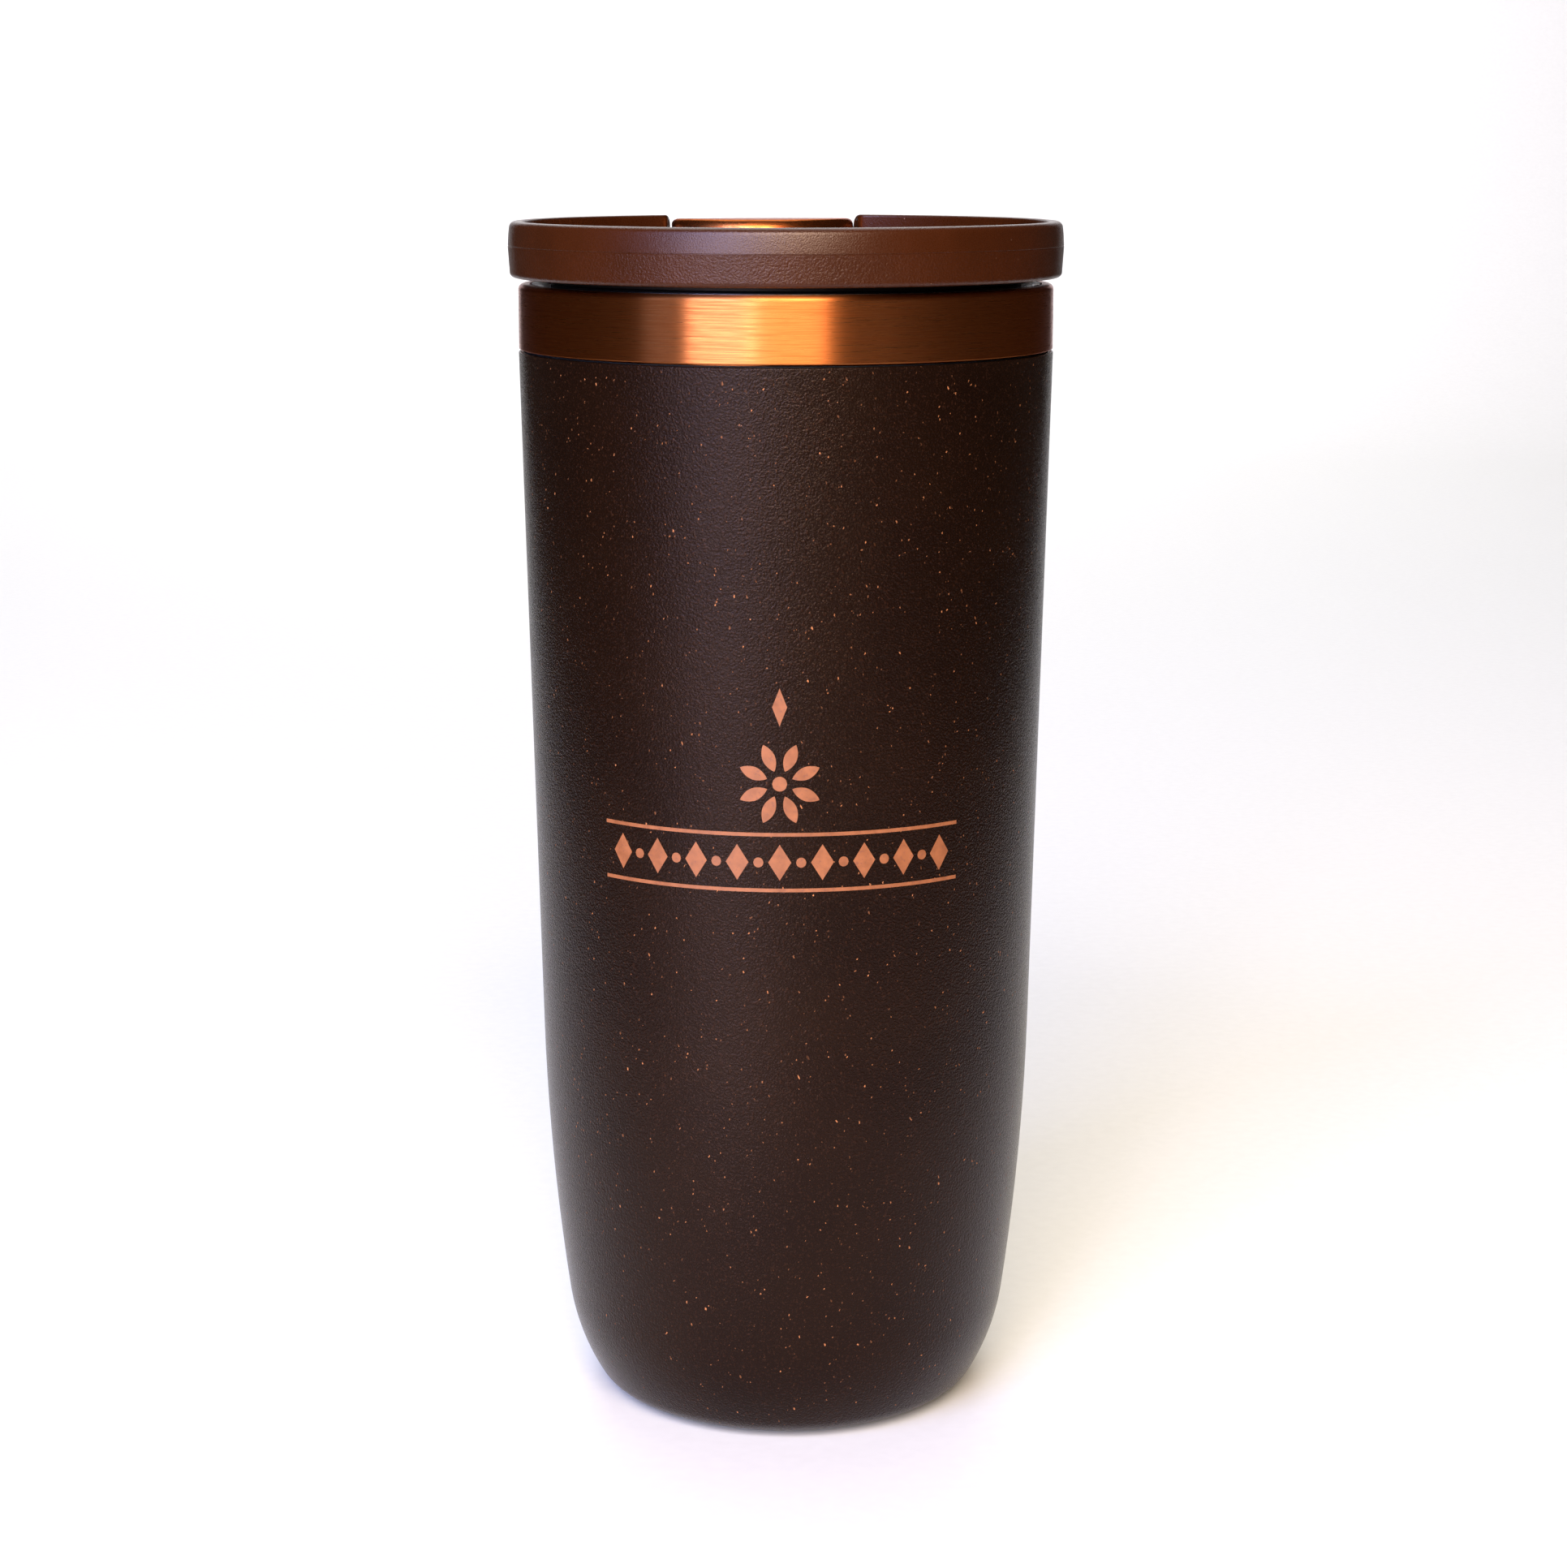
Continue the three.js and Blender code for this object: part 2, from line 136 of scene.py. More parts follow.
def rounded(corners, closed=False, support=0.12):
    """Points along an outline of (x, y, fillet) corners.

    Each fillet is an arc with a support point on each side.
    """
    longest = 0.48  # share of a side that a fillet may take
    step = math.radians(14)
    points = []
    count = len(corners)
    for i, (x, y, fillet) in enumerate(corners):
        here = Vector((x, y))
        if fillet <= 0 or (not closed and i in (0, count - 1)):
            points.append(here)
            continue
        back = Vector(corners[i - 1][:2]) - here
        on = Vector(corners[(i + 1) % count][:2]) - here
        half = back.angle(on) / 2
        run = min(fillet / math.tan(half), longest * back.length, longest * on.length)
        radius = run * math.tan(half)
        back.normalize()
        on.normalize()
        centre = here + (back + on).normalized() * (radius / math.sin(half))
        start = here + back * run - centre
        sweep = start.angle_signed(here + on * run - centre)
        steps = max(3, math.ceil(abs(sweep) / step))
        points.append(here + back * (run + support))
        for k in range(steps + 1):
            turn = Matrix.Rotation(-sweep * k / steps, 2)
            points.append(centre + turn @ start)
        points.append(here + on * (run + support))
    return [(p.x, p.y) for p in points]


def arc(centre, radius, start, end, steps):
    """Points on a circle between two angles in degrees."""
    made = []
    for k in range(steps + 1):
        a = math.radians(start + (end - start) * k / steps)
        made.append((centre[0] + radius * math.cos(a), centre[1] + radius * math.sin(a)))
    return made


def sleeve_line(inset, low, high, step=3.0):
    """The sleeve's outer line moved inwards, from the lower height to the upper one: (r, z) points."""
    slope = math.tan(SLEEVE_TAPER)
    line = []
    z = high + inset
    while z > SLEEVE_BEND_Z + step / 2:
        line.append((SLEEVE_R - (SLEEVE_TOP - z) * slope, z, SLEEVE_TAPER))
        z -= step
    r = SLEEVE_R - (SLEEVE_TOP - SLEEVE_BEND_Z) * slope
    z = SLEEVE_BEND_Z
    line.append((r, z, SLEEVE_TAPER))
    angle = SLEEVE_TAPER
    for radius, end, steps in SLEEVE_ARCS:
        stop = math.radians(end)
        centre = (r - radius * math.cos(angle), z + radius * math.sin(angle))
        for k in range(1, steps + 1):
            a = angle + (stop - angle) * k / steps
            r = centre[0] + radius * math.cos(a)
            z = centre[1] - radius * math.sin(a)
            line.append((r, z, a))
        angle = stop
    moved = [(r - inset * math.cos(a), z + inset * math.sin(a)) for r, z, a in reversed(line)]
    inner = [p for p in moved if low + 0.05 < p[1] < high - 0.05]
    return [at_height(moved, low), *inner, at_height(moved, high)]


def at_height(line, z):
    """The point at height z on a rising line."""
    for (r0, z0), (r1, z1) in zip(line, line[1:]):
        if z0 <= z <= z1 and z1 > z0:
            return r0 + (r1 - r0) * (z - z0) / (z1 - z0), z
    return line[-1]


# ---------------------------------------------------------------- meshes


def mesh_object(name, vertices, faces, scale=MM):
    """An object from vertices and faces, scaled to metres."""
    data = bpy.data.meshes.new(name)
    data.from_pydata([Vector(v) * scale for v in vertices], [], faces)
    data.update()
    finish_mesh(data)
    made = bpy.data.objects.new(name, data)
    bpy.context.scene.collection.objects.link(made)
    return made


def finish_mesh(data):
    """Shades a mesh smooth, and keeps the edges over 35 degrees sharp."""
    data.shade_smooth()
    data.set_sharp_from_angle(angle=math.radians(35))


def turned_rows(outline, angles):
    """Vertices and faces of an outline turned through the angles, which go all the way round."""
    vertices, rows = [], []
    for r, z in outline:
        if r < 1e-6:
            rows.append([len(vertices)] * len(angles))
            vertices.append((0.0, 0.0, z))
            continue
        rows.append(list(range(len(vertices), len(vertices) + len(angles))))
        vertices += [(r * math.cos(a), r * math.sin(a), z) for a in angles]
    if outline[0][0] > 1e-6:
        rows.append(rows[0])
    faces = []
    for low, high in zip(rows, rows[1:]):
        for i in range(len(angles)):
            j = (i + 1) % len(angles)
            face = list(dict.fromkeys((low[i], low[j], high[j], high[i])))
            if len(face) > 2:
                faces.append(face)
    return vertices, faces


def turned(name, outline, segments=SEGMENTS, centre=(0.0, 0.0)):
    """An outline of (r, z) points, counter-clockwise, turned about a vertical axis."""
    angles = [2 * math.pi * i / segments for i in range(segments)]
    vertices, faces = turned_rows(outline, angles)
    moved = [(x + centre[0], y + centre[1], z) for x, y, z in vertices]
    return mesh_object(name, moved, faces)


def layered(name, layers):
    """A closed solid through rings of the same number of points, lowest first, capped at both ends."""
    count = len(layers[0])
    vertices = [p for ring in layers for p in ring]
    faces = [list(range(count))[::-1]]
    for k in range(len(layers) - 1):
        for i in range(count):
            j = (i + 1) % count
            a, b = k * count, (k + 1) * count
            faces.append([a + i, a + j, b + j, b + i])
    faces.append([(len(layers) - 1) * count + i for i in range(count)])
    return mesh_object(name, vertices, faces)


def inset_outline(points, by):
    """A counter-clockwise outline moved inwards by a distance."""
    made = []
    count = len(points)
    for i in range(count):
        before, here, after = (Vector(points[(i + k) % count]) for k in (-1, 0, 1))
        a, b = (here - before).normalized(), (after - here).normalized()
        na, nb = Vector((-a.y, a.x)), Vector((-b.y, b.x))
        bisector = (na + nb).normalized()
        made.append(here + bisector * (by / max(0.5, bisector.dot(na))))
    return [(p.x, p.y) for p in made]


def slab(name, points, low, high, edge_low=0.25, edge_high=0.25, steps=4):
    """A flat solid over a counter-clockwise outline, with both rims rounded."""
    layers = []

    def rim(edge, z, way):
        rings = []
        for k in range(steps + 1):
            a = math.radians(90 * k / steps)
            ring = inset_outline(points, edge * (1 - math.sin(a)))
            rings.append([(x, y, z + way * edge * (1 - math.cos(a))) for x, y in ring])
        return rings

    layers += rim(edge_low, low, 1)
    layers += [[(x, y, low + edge_low + 0.08) for x, y in points]] if high - low > 1 else []
    layers += rim(edge_high, high, -1)[::-1]
    inner = [(x, y, high) for x, y in inset_outline(points, edge_high + 0.1)]
    outer = [(x, y, low) for x, y in inset_outline(points, edge_low + 0.1)]
    return layered(name, [outer, *layers, inner])


def slot_outline(y, length, width, steps=14):
    """A slot with round ends that lies along X, centred on (0, y)."""
    reach, radius = (length - width) / 2, width / 2
    return arc((reach, y), radius, -90, 90, steps) + arc((-reach, y), radius, 90, 270, steps)


def slot_cutter(y, length, width, low, high, flare=0.35, steps=4):
    """A tool for a slot whose upper mouth is rounded over."""
    rings = [[(x, v, low) for x, v in slot_outline(y, length, width)]]
    for k in range(steps + 1):
        a = math.radians(90 * k / steps)
        grow = 2 * flare * (1 - math.cos(a))
        ring = slot_outline(y, length + grow, width + grow)
        rings.append([(x, v, high - flare * (1 - math.sin(a))) for x, v in ring])
    grow = 2 * flare
    ring = slot_outline(y, length + grow, width + grow)
    rings.append([(x, v, high + 3) for x, v in ring])
    return layered("cutter", rings)


def applied(made):
    """Turns an object's modifiers into its own mesh."""
    graph = bpy.context.evaluated_depsgraph_get()
    data = bpy.data.meshes.new_from_object(made.evaluated_get(graph))
    made.modifiers.clear()
    old, made.data = made.data, data
    bpy.data.meshes.remove(old)
    finish_mesh(data)
    return made


def combined(made, tool, operation):
    """A boolean with a tool, which is then removed."""
    step = made.modifiers.new("combine", "BOOLEAN")
    step.operation = operation
    step.solver = "EXACT"
    step.object = tool
    applied(made)
    data = tool.data
    bpy.data.objects.remove(tool)
    bpy.data.meshes.remove(data)
    made.data.name = made.name
    return made


def cross_rod(name, outline, segments=40):
    """An outline of (radius, x) points turned about the hinge's axis."""
    angles = [2 * math.pi * i / segments for i in range(segments)]
    vertices, faces = turned_rows(outline, angles)
    return mesh_object(name, [(x, r0 + HINGE_Y, r1 + HINGE_Z) for r0, r1, x in vertices], faces)


# ---------------------------------------------------------------- material nodes


def add(tree, kind, inputs=None, **settings):
    """A shader node. Inputs are sockets to link from, or values to set."""
    made = tree.nodes.new("ShaderNode" + kind)
    for key, value in settings.items():
        setattr(made, key, value)
    for key, value in (inputs or {}).items():
        if isinstance(value, bpy.types.NodeSocket):
            tree.links.new(value, made.inputs[key])
        else:
            made.inputs[key].default_value = value
    return made


def linear(colour):
    """sRGB 0 to 255 as a linear RGBA."""
    parts = [c / 255 for c in colour]
    return (*[c / 12.92 if c < 0.04045 else ((c + 0.055) / 1.055) ** 2.4 for c in parts], 1)


def surface(name, roughness=0.5, metallic=0.0):
    """(material, tree, shader, object coordinates) of a new material."""
    made = bpy.data.materials.new(name)
    made.use_nodes = True
    tree = made.node_tree
    shader = tree.nodes["Principled BSDF"]
    shader.inputs["Roughness"].default_value = roughness
    shader.inputs["Metallic"].default_value = metallic
    where = add(tree, "TexCoord").outputs["Object"]
    return made, tree, shader, where


def noise(tree, where, scale, detail=2.0, rough=0.5, stretch=None):
    """A noise value at scale features to the metre."""
    if stretch:
        where = add(tree, "Mapping", {"Vector": where, "Scale": stretch}).outputs[0]
    inputs = {"Vector": where, "Scale": scale, "Detail": detail, "Roughness": rough}
    return add(tree, "TexNoise", inputs).outputs["Fac"]


def mapped(tree, value, low, high, to_low=0.0, to_high=1.0):
    """A value carried from one range to another, and held at its ends."""
    inputs = {"Value": value, "From Min": low, "From Max": high, "To Min": to_low, "To Max": to_high}
    return add(tree, "MapRange", inputs).outputs["Result"]


def times(tree, a, b):
    return add(tree, "Math", {0: a, 1: b}, operation="MULTIPLY").outputs[0]


def plus(tree, a, b):
    return add(tree, "Math", {0: a, 1: b}, operation="ADD").outputs[0]


def blended(tree, factor, a, b):
    """A mix of two colours."""
    return add(tree, "Mix", {0: factor, 6: a, 7: b}, data_type="RGBA").outputs[2]


def bumped(tree, shader, height, depth, strength=1.0):
    """Drives the shader's normal from a height whose full range is depth metres."""
    inputs = {"Height": height, "Distance": depth, "Strength": strength}
    tree.links.new(add(tree, "Bump", inputs).outputs[0], shader.inputs["Normal"])


def coloured(tree, shader, colour):
    tree.links.new(colour, shader.inputs["Base Color"])


def flecks(tree, where, scale, size, share, turn, stretch):
    """(mask, random value) of sparse splinters, in cells scale to the metre.

    Each lies along a turned Z axis and is drawn out along it by the stretch.
    """
    inputs = {"Vector": where, "Rotation": turn, "Scale": (1.0, 1.0, stretch)}
    placed = add(tree, "Mapping", inputs, vector_type="TEXTURE").outputs[0]
    cells = add(tree, "TexVoronoi", {"Vector": placed, "Scale": scale, "Randomness": 1.0})
    parts = add(tree, "SeparateColor", {"Color": cells.outputs["Color"]})
    kept = mapped(tree, parts.outputs[0], 1 - share, 1 - share / 2)
    reach = mapped(tree, parts.outputs[1], 0, 1, size * 0.5, size)
    near = add(tree, "Math", {0: reach, 1: cells.outputs["Distance"]}, operation="SUBTRACT").outputs[0]
    mask = times(tree, mapped(tree, near, 0, size * 0.25), kept)
    return mask, parts.outputs[2]


# ---------------------------------------------------------------- materials


def composite_material():
    """Coffee-ground composite: near-black brown with a fine leathery grain and scattered orange splinters."""
    made, tree, shader, where = surface("composite", roughness=0.3)
    shader.inputs["Specular IOR Level"].default_value = 0.15
    shader.inputs["Specular Tint"].default_value = (1.0, 0.74, 0.66, 1)
    grain = noise(tree, where, 2900, 2, 0.6)
    drift = add(tree, "TexNoise", {"Vector": where, "Scale": 5000.0, "Detail": 1.0}).outputs["Color"]
    inputs = {0: drift, 1: (0.0003, 0.0003, 0.0003), 2: where}
    bent = add(tree, "VectorMath", inputs, operation="MULTIPLY_ADD").outputs[0]
    cloud = mapped(tree, noise(tree, where, 60, 4), 0.3, 0.7)
    colour = blended(tree, cloud, linear((15, 6, 3)), linear((20, 9, 4)))
    colour = blended(tree, mapped(tree, grain, 0.55, 0.85), colour, linear((46, 26, 16)))
    layers = (  # cells to the metre, size, share, turn, stretch
        (2900, 0.32, 0.055, (0.2, 0.3, 0.0), 2.0),
        (1900, 0.28, 0.040, (0.2, -0.35, 0.2), 2.2),
        (2000, 0.27, 0.022, (-0.5, 1.1, 0.3), 2.2),
        (1500, 0.22, 0.014, (0.1, -0.5, 0.0), 3.4),
    )
    raised = None
    for scale, size, share, turn, stretch in layers:
        mask, shade = flecks(tree, bent, scale, size, share, turn, stretch)
        fleck = blended(tree, shade, linear((62, 38, 24)), linear((172, 110, 70)))
        colour = blended(tree, mask, colour, fleck)
        raised = mask if raised is None else plus(tree, raised, mask)
    coloured(tree, shader, colour)
    tree.links.new(mapped(tree, grain, 0.3, 0.7, 0.29, 0.21), shader.inputs["Roughness"])
    bumped(tree, shader, plus(tree, grain, times(tree, raised, 0.1)), 0.00015, 0.8)
    return made


def plastic_material(name, dark, light, roughness, grain_depth, gloss, pitch=5000):
    """Moulded plastic with a fine spark-eroded grain and a few pale specks."""
    made, tree, shader, where = surface(name, roughness=roughness)
    shader.inputs["Specular IOR Level"].default_value = gloss
    shader.inputs["Specular Tint"].default_value = (1.0, 0.84, 0.78, 1)
    cloud = mapped(tree, noise(tree, where, 90, 4, 0.6), 0.3, 0.7)
    colour = blended(tree, cloud, linear(dark), linear(light))
    specks, shade = flecks(tree, where, 1500, 0.16, 0.02, (0.3, 0.6, 0.0), 1.4)
    speck = blended(tree, shade, linear((110, 74, 56)), linear((176, 150, 134)))
    coloured(tree, shader, blended(tree, specks, colour, speck))
    grain = noise(tree, where, pitch, 2, 0.55)
    low, high = roughness - 0.05, roughness + 0.06
    tree.links.new(mapped(tree, grain, 0.3, 0.7, low, high), shader.inputs["Roughness"])
    bumped(tree, shader, grain, grain_depth, 0.6)
    return made


def brushed_material(name, dark, light, roughness, anisotropy, stretch, edge=(1.0, 1.0, 1.0)):
    """Brushed metal, with streaks that the stretch draws out and a tint at a slant from the edge colour."""
    made, tree, shader, where = surface(name, roughness=roughness, metallic=1.0)
    shader.inputs["Anisotropic"].default_value = anisotropy
    shader.inputs["Anisotropic Rotation"].default_value = 0.25
    shader.inputs["Specular Tint"].default_value = (*edge, 1)
    tangent = add(tree, "Tangent", direction_type="RADIAL", axis="Z").outputs[0]
    tree.links.new(tangent, shader.inputs["Tangent"])
    fine = noise(tree, where, 1.0, 3, 0.7, stretch)
    broad = noise(tree, where, 0.25, 2, 0.6, stretch)
    marks = plus(tree, times(tree, fine, 0.8), times(tree, broad, 0.2))
    coloured(tree, shader, blended(tree, mapped(tree, marks, 0.35, 0.65), linear(dark), linear(light)))
    low, high = roughness - 0.05, roughness + 0.08
    tree.links.new(mapped(tree, marks, 0.35, 0.65, high, low), shader.inputs["Roughness"])
    bumped(tree, shader, marks, 0.000006, 0.5)
    return made


def silicone_material(name, dark, light):
    """Matte silicone with faint mottling and a dusty sheen."""
    made, tree, shader, where = surface(name, roughness=0.6)
    shader.inputs["Specular IOR Level"].default_value = 0.3
    shader.inputs["Sheen Weight"].default_value = 0.05
    shader.inputs["Sheen Roughness"].default_value = 0.4
    cloud = mapped(tree, noise(tree, where, 160, 4, 0.6), 0.3, 0.7)
    coloured(tree, shader, blended(tree, cloud, linear(dark), linear(light)))
    grain = noise(tree, where, 2600, 2)
    tree.links.new(mapped(tree, grain, 0.3, 0.7, 0.52, 0.68), shader.inputs["Roughness"])
    bumped(tree, shader, grain, 0.00003, 0.5)
    return made


def print_material():
    """Copper-tan pad print, with the speckled cover of ink on a grained surface."""
    made, tree, shader, where = surface("print_ink", roughness=0.5)
    gaps = mapped(tree, noise(tree, where, 2200, 2), 0.60, 0.68)
    cloud = mapped(tree, noise(tree, where, 700, 3), 0.3, 0.7)
    colour = blended(tree, cloud, linear((118, 66, 33)), linear((140, 82, 44)))
    coloured(tree, shader, blended(tree, times(tree, gaps, 0.6), colour, linear((104, 58, 42))))
    tree.links.new(mapped(tree, cloud, 0, 1, 0.45, 0.6), shader.inputs["Roughness"])
    bumped(tree, shader, noise(tree, where, 1600, 3, 0.6), 0.00005, 0.5)
    return made


def foam_material():
    """Closed-cell foam."""
    made, tree, shader, where = surface("foam", roughness=0.9)
    cells = add(tree, "TexVoronoi", {"Vector": where, "Scale": 1500.0}).outputs["Distance"]
    coloured(tree, shader, blended(tree, cells, linear((70, 70, 74)), linear((44, 44, 48))))
    tree.links.new(mapped(tree, cells, 0, 1, 0.85, 0.95), shader.inputs["Roughness"])
    bumped(tree, shader, cells, 0.0002, 0.6)
    return made


def foil_material():
    """Wrapped copper foil with shallow creases. Its colour darkens along the creases, as painted shade."""
    made, tree, shader, where = surface("copper_foil", roughness=0.3, metallic=1.0)
    creases = add(tree, "TexVoronoi", {"Vector": where, "Scale": 90.0}, feature="DISTANCE_TO_EDGE")
    folds = mapped(tree, creases.outputs["Distance"], 0, 0.25)
    # Painted shade: the copper's colour is darker along the creases.
    coloured(tree, shader, blended(tree, folds, linear((170, 92, 60)), linear((214, 134, 92))))
    tree.links.new(mapped(tree, folds, 0, 1, 0.42, 0.25), shader.inputs["Roughness"])
    bumped(tree, shader, folds, 0.0003, 0.6)
    return made


def bead_material():
    """Fused sealing glass, grey-green with small bubbles."""
    made, tree, shader, where = surface("sealing_glass", roughness=0.2)
    shader.inputs["Coat Weight"].default_value = 0.5
    bubbles = add(tree, "TexVoronoi", {"Vector": where, "Scale": 1200.0}).outputs["Distance"]
    mask = mapped(tree, bubbles, 0.15, 0.3)
    coloured(tree, shader, blended(tree, mask, linear((160, 172, 160)), linear((104, 118, 108))))
    tree.links.new(mapped(tree, mask, 0, 1, 0.35, 0.18), shader.inputs["Roughness"])
    bumped(tree, shader, mask, 0.0001, 0.3)
    return made


def pill_material():
    """Sintered getter metal, with open pores. Its colour darkens in the pores, as painted shade."""
    made, tree, shader, where = surface("sintered", roughness=0.75, metallic=1.0)
    pores = noise(tree, where, 1800, 4, 0.7)
    # Painted shade: the colour is darker where the pores sink in.
    coloured(tree, shader, blended(tree, pores, linear((70, 70, 74)), linear((168, 168, 172))))
    tree.links.new(mapped(tree, pores, 0.3, 0.7, 0.9, 0.6), shader.inputs["Roughness"])
    bumped(tree, shader, pores, 0.0001, 0.8)
    return made


COMPOSITE = composite_material()
LID_PLASTIC = plastic_material("lid_plastic", (46, 18, 3), (53, 22, 5), 0.29, 0.00007, 0.38)
LID_TEXTURED = plastic_material("lid_textured", (46, 18, 3), (53, 22, 5), 0.34, 0.0002, 0.29, 3000)
BLACK_PLASTIC = plastic_material("black_plastic", (10, 9, 8), (16, 14, 13), 0.5, 0.00004, 0.25)
ROUND_BRUSH = (140.0, 140.0, 8000.0)
ALONG_BRUSH = (60.0, 4000.0, 4000.0)
COPPER_EDGE = (0.62, 0.5, 0.5)
COLLAR_STEEL = brushed_material(
    "collar_steel", (150, 79, 38), (182, 108, 58), 0.3, 0.94, ROUND_BRUSH, COPPER_EDGE
)
TAB_STEEL = brushed_material("tab_steel", (142, 72, 34), (172, 96, 50), 0.26, 0.0, ALONG_BRUSH, COPPER_EDGE)
LINER_STEEL = brushed_material("liner_steel", (176, 178, 182), (206, 208, 212), 0.3, 0.6, ROUND_BRUSH)
PRESSED_STEEL = brushed_material("pressed_steel", (168, 170, 174), (198, 200, 204), 0.32, 0.0, ALONG_BRUSH)
SILICONE = silicone_material("silicone", (15, 13, 12), (24, 21, 20))
INK = print_material()
FOAM = foam_material()
FOIL = foil_material()
BEAD = bead_material()
PILL = pill_material()

# ---------------------------------------------------------------- placing


def fitted(made, body, material, slot, *nodes):
    """Gives a piece its material, puts it on a body, and lets it stand for CAD nodes. The slot is not used.
    """
    made.data.materials.clear()
    made.data.materials.append(material)
    if nodes:
        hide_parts(*nodes)
    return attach(made, body)


# ---------------------------------------------------------------- foot, sleeve and print


def build_foot():
    """The silicone pad, with a grip groove and three finer rings in its underside."""
    outline = [(0, 0, 0), (11.8, 0, 0.2), (12.3, 0.55, 0.2), (14.6, 0.55, 0.2), (15.1, 0, 0.2)]
    for r in (17.4, 19.2, 21.0):
        outline += [(r, 0, 0.1), (r + 0.2, 0.3, 0.1), (r + 0.5, 0.3, 0.1), (r + 0.7, 0, 0.1)]
    outline += [(PAD_R - 0.1, 0, 0.7), (PAD_R, PAD_TOP, 0.3), (0, PAD_TOP, 0)]
    made = turned("foot_pad_piece", rounded(outline, support=0.05))
    fitted(made, "vessel", SILICONE, "foot_pad", "foot_pad")


def build_sleeve():
    """The composite sleeve. Its floor is recessed for the pad and its top edge is cut back for the seal."""
    floor = SLEEVE_LOW + SLEEVE_FLOOR
    recess = SLEEVE_LOW + 1.5
    line = sleeve_line(0, SLEEVE_LOW, SLEEVE_TOP - 0.5)
    rebate = SLEEVE_TOP - REBATE_DEPTH
    lip = [(*line[-1], 0), (SLEEVE_R, SLEEVE_TOP, 0.4), (REBATE_R, SLEEVE_TOP, 0.15), (REBATE_R, rebate, 0.1)]
    foot = [(0, recess, 0), (PAD_R + 0.3, recess, 0.2), (PAD_R + 0.3, SLEEVE_LOW, 0.25), (*line[0], 0)]
    inner = sleeve_line(SLEEVE_WALL, floor, rebate)[::-1]
    outline = rounded(foot, support=0.05)[:-1] + line[:-1] + rounded(lip, support=0.05) + inner + [(0, floor)]
    made = turned("sleeve_piece", outline, 256)
    fitted(made, "vessel", COMPOSITE, "sleeve", "sleeve")


def strip(centre, along, length, width, form, lines=3, steps=14):
    """A grid of (s, z) points and faces: a shape along a direction, whose width follows form."""
    side = (-along[1], along[0])
    points, faces = [], []
    for i in range(steps + 1):
        u = i / steps
        wide = max(0.02, width * form(u))
        for k in range(lines + 1):
            a, b = (u - 0.5) * length, (k / lines - 0.5) * wide
            points.append((centre[0] + along[0] * a + side[0] * b, centre[1] + along[1] * a + side[1] * b))
    for i in range(steps):
        for k in range(lines):
            a = i * (lines + 1) + k
            faces.append((a, a + lines + 1, a + lines + 2, a + 1))
    return points, faces


# A strip's width at u, from 0 at one end to 1 at the other, as a share of its greatest width.


def leaf(u):
    return math.sin(math.pi * u) ** 0.8


def lozenge(u):
    return 1 - abs(2 * u - 1)


def bar(u):
    return 1.0


def dot(u):
    return math.sqrt(max(0.0, 1 - (2 * u - 1) ** 2))


def build_print():
    """A plain rosette over a plain border of lozenges, dots and rules, as a thin skin of ink."""
    shapes = []
    rose, petal_r = (0.0, 106.2), 4.15
    for k in range(8):
        a = math.radians(45 * k + 22.5)
        along = (math.cos(a), math.sin(a))
        centre = (rose[0] + along[0] * petal_r, rose[1] + along[1] * petal_r)
        shapes.append(strip(centre, along, 4.3, 1.9, leaf))
    shapes.append(strip(rose, (1, 0), 2.2, 2.2, dot))
    shapes.append(strip((0, 117.6), (0, 1), 5.6, 2.2, lozenge))
    row_z, pitch = 94.4, 6.3
    for k in range(-4, 5):
        shapes.append(strip((k * pitch, row_z), (0, 1), 5.4, 3.4, lozenge))
        if k < 4:
            shapes.append(strip(((k + 0.5) * pitch, row_z), (1, 0), 1.5, 1.5, dot))
    for z in (98.6, 90.2):
        shapes.append(strip((0, z), (1, 0), 57.0, 0.55, bar, 2, 90))
    line = sleeve_line(0, 80, 130)
    lift, thickness = 0.02, 0.03
    vertices, faces = [], []
    middle = math.radians(-90 + PRINT_TURN)
    for points, quads in shapes:
        base = len(vertices)
        for s, z in points:
            r = at_height(line, z)[0] + lift
            a = middle + s / r
            vertices.append((r * math.cos(a), r * math.sin(a), z))
        faces += [[base + i for i in quad] for quad in quads]
    made = mesh_object("print_ornament", vertices, faces)
    skin = made.modifiers.new("ink", "SOLIDIFY")
    skin.thickness = thickness * MM
    skin.offset = 1.0
    applied(made)
    fitted(made, "vessel", INK, "outer_tube")


# ---------------------------------------------------------------- steel vessel


def build_outer_wall():
    """The outer steel wall, which steps out above the sleeve as the bare collar and turns in at the top."""
    low = span("outer_tube")[0].z
    wall = sleeve_line(OUTER_INSET, low, COLLAR_LOW - 0.2)
    inside = sleeve_line(OUTER_INSET + STEEL, low, COLLAR_LOW + 0.4)[::-1]
    top_r = 39.25
    collar = [
        (*wall[-1], 0),
        (wall[-1][0], COLLAR_LOW, 0.15),
        (COLLAR_R, COLLAR_LOW, 0.15),
        (COLLAR_R, COLLAR_TOP, 1.7),
        (top_r, COLLAR_TOP, 0),
        (top_r, COLLAR_TOP - STEEL, 0),
        (COLLAR_R - STEEL, COLLAR_TOP - STEEL, 1.1),
        (COLLAR_R - STEEL, COLLAR_LOW + STEEL, 0.15),
        (*inside[0], 0),
    ]
    outline = wall[:-1] + rounded(collar) + inside[1:]
    made = turned("outer_wall", outline, 256)
    fitted(made, "vessel", COLLAR_STEEL, "outer_tube", "outer_tube")


